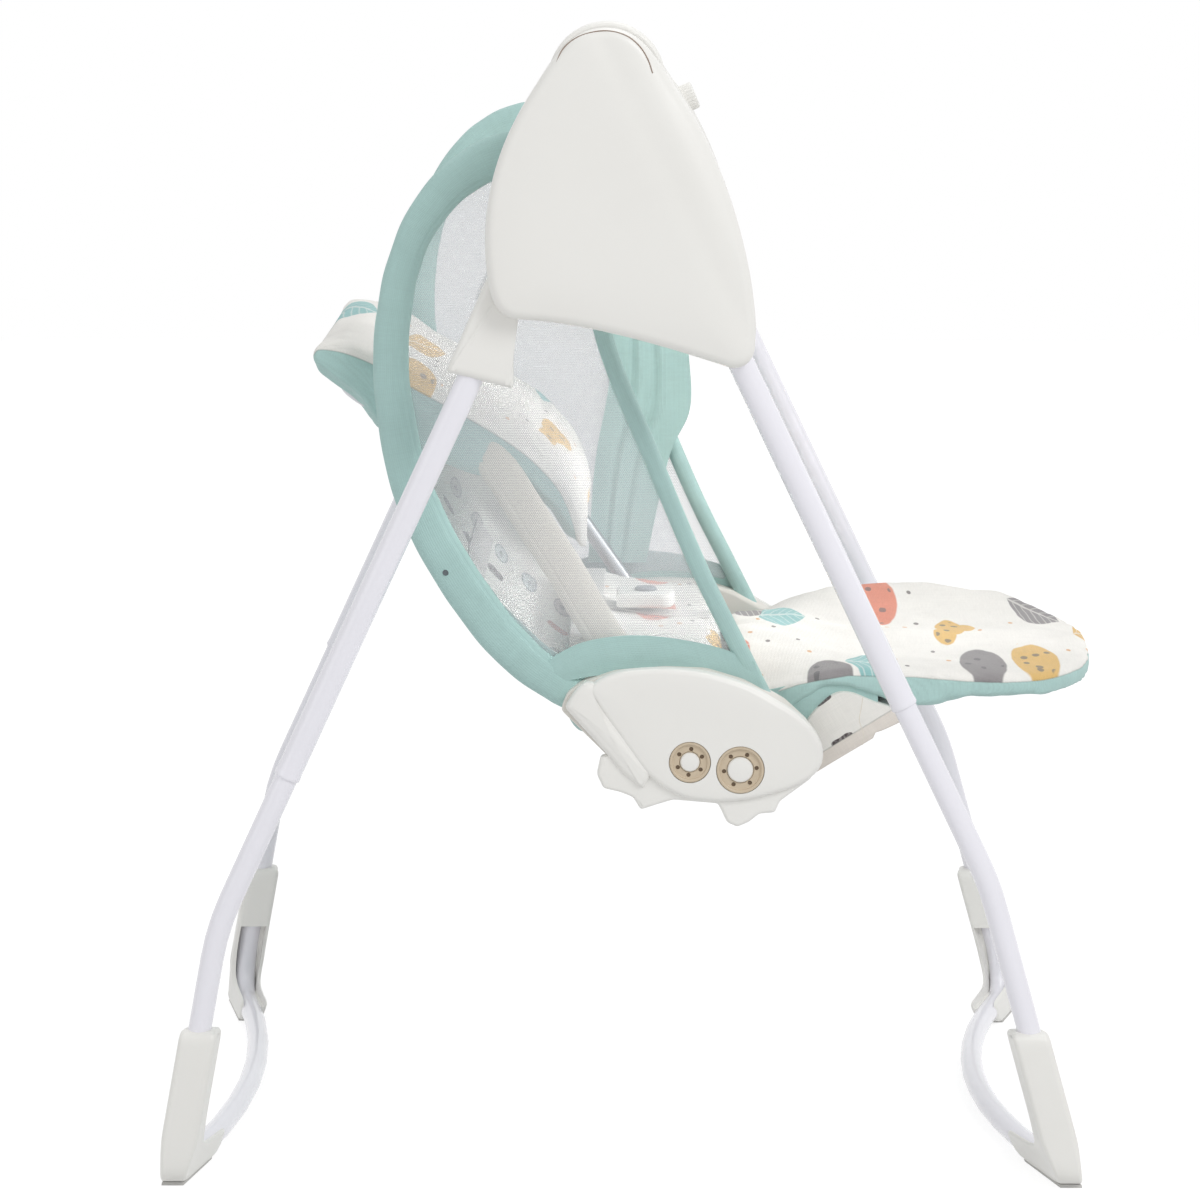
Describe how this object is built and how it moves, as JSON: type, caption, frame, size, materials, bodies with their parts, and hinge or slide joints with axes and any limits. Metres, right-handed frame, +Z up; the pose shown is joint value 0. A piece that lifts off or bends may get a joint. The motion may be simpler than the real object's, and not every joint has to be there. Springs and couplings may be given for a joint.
{
  "type": "baby swing",
  "caption": "Folding baby swing with a mesh-sided reclined seat hung between two crossed tube frames, a motor hub and a padded leg rest.",
  "frame": {"origin": "on the floor, under the middle of the whole object's box", "axes": "+X towards the front, where the leg rest is; +Y towards the baby's left, the drive side; +Z up"},
  "size_m": [0.7485, 0.644, 0.8968],
  "materials": {
    "housing": "satin",
    "inner_plastic": "matte",
    "painted_tube": "gloss",
    "steel": "satin",
    "light_alloy": "satin",
    "rubber": "matte",
    "mint_fabric": "matte",
    "side_mesh": "matte",
    "print_fabric": "matte",
    "ring_plastic": "matte",
    "button_plastic": "matte",
    "circuit_board": "matte",
    "battery": "satin"
  },
  "bodies": {
    "front_frame": {"front_floor_tube": "painted_tube", "front_leg_tube_right": "painted_tube", "front_boot_right": "housing", "front_foot_pad_right": "rubber", "front_leg_tube_left": "painted_tube", "front_boot_left": "housing", "front_foot_pad_left": "rubber", "hub_outer_cover_right": "housing", "hub_inner_cover_right": "housing", "pivot_bush_right": "steel", "hub_outer_cover_left": "housing", "hub_inner_cover_left": "housing", "pivot_bush_left": "steel", "battery_pack": "battery", "drive_motor": "steel", "drive_gearbox": "inner_plastic", "control_board": "circuit_board"},
    "rear_frame": {"rear_floor_tube": "painted_tube", "rear_leg_tube_right": "painted_tube", "rear_boot_right": "housing", "rear_foot_pad_right": "rubber", "rear_hub_arm_right": "housing", "rear_leg_tube_left": "painted_tube", "rear_boot_left": "housing", "rear_foot_pad_left": "rubber", "rear_hub_arm_left": "housing"},
    "seat": {"hanger_right": "inner_plastic", "swing_axle_right": "steel", "side_loop_right": "steel", "side_panel_right": "side_mesh", "base_outer_housing_right": "housing", "base_inner_housing_right": "inner_plastic", "rear_ring_right": "ring_plastic", "front_ring_right": "ring_plastic", "hanger_left": "inner_plastic", "swing_axle_left": "steel", "side_loop_left": "steel", "side_panel_left": "side_mesh", "base_outer_housing_left": "housing", "base_inner_housing_left": "inner_plastic", "rear_ring_left": "ring_plastic", "front_ring_left": "ring_plastic", "swing_crank": "steel", "rear_cross_tube": "steel", "front_cross_tube": "steel", "seat_pan": "inner_plastic", "bucket_panel": "print_fabric", "seat_cushion": "print_fabric", "leg_rest_pad": "print_fabric", "leg_rest_frame": "light_alloy", "front_apron": "print_fabric", "left_arm_sleeve": "mint_fabric", "harness_straps": "mint_fabric", "buckle": "inner_plastic"},
    "backrest": {"back_frame": "steel", "back_cushion": "print_fabric"},
    "speed_dial": {"speed_dial": "inner_plastic"},
    "fold_button_right": {"fold_button_right": "inner_plastic"},
    "fold_button_left": {"fold_button_left": "inner_plastic"},
    "buckle_button": {"buckle_button": "button_plastic"}
  },
  "joints": [
    {"name": "frame_fold", "type": "hinge", "parent": "front_frame", "child": "rear_frame", "pos_m": [-0.026, 0, 0.853], "axis": [0, -1, 0], "range_deg": [0, 36]},
    {"name": "seat_swing", "type": "hinge", "parent": "front_frame", "child": "seat", "pos_m": [-0.026, 0, 0.853], "axis": [0, 1, 0], "range_deg": [-14, 14]},
    {"name": "back_recline", "type": "hinge", "parent": "seat", "child": "backrest", "pos_m": [0.038, 0, 0.328], "axis": [0, 1, 0], "range_deg": [0, 14]},
    {"name": "speed_dial_turn", "type": "hinge", "parent": "front_frame", "child": "speed_dial", "pos_m": [0.0376, 0.285, 0.811], "axis": [0.9191, 0, 0.3939], "range_deg": [0, 270]},
    {"name": "fold_button_right_press", "type": "slide", "parent": "front_frame", "child": "fold_button_right", "axis": [0, -1, 0], "range_m": [0, 0.004], "stiffness_N_per_m": 400},
    {"name": "fold_button_left_press", "type": "slide", "parent": "front_frame", "child": "fold_button_left", "axis": [0, 1, 0], "range_m": [0, 0.004], "stiffness_N_per_m": 400},
    {"name": "buckle_button_press", "type": "slide", "parent": "seat", "child": "buckle_button", "axis": [0, 0, -1], "range_m": [0, 0.003], "stiffness_N_per_m": 300}
  ]
}
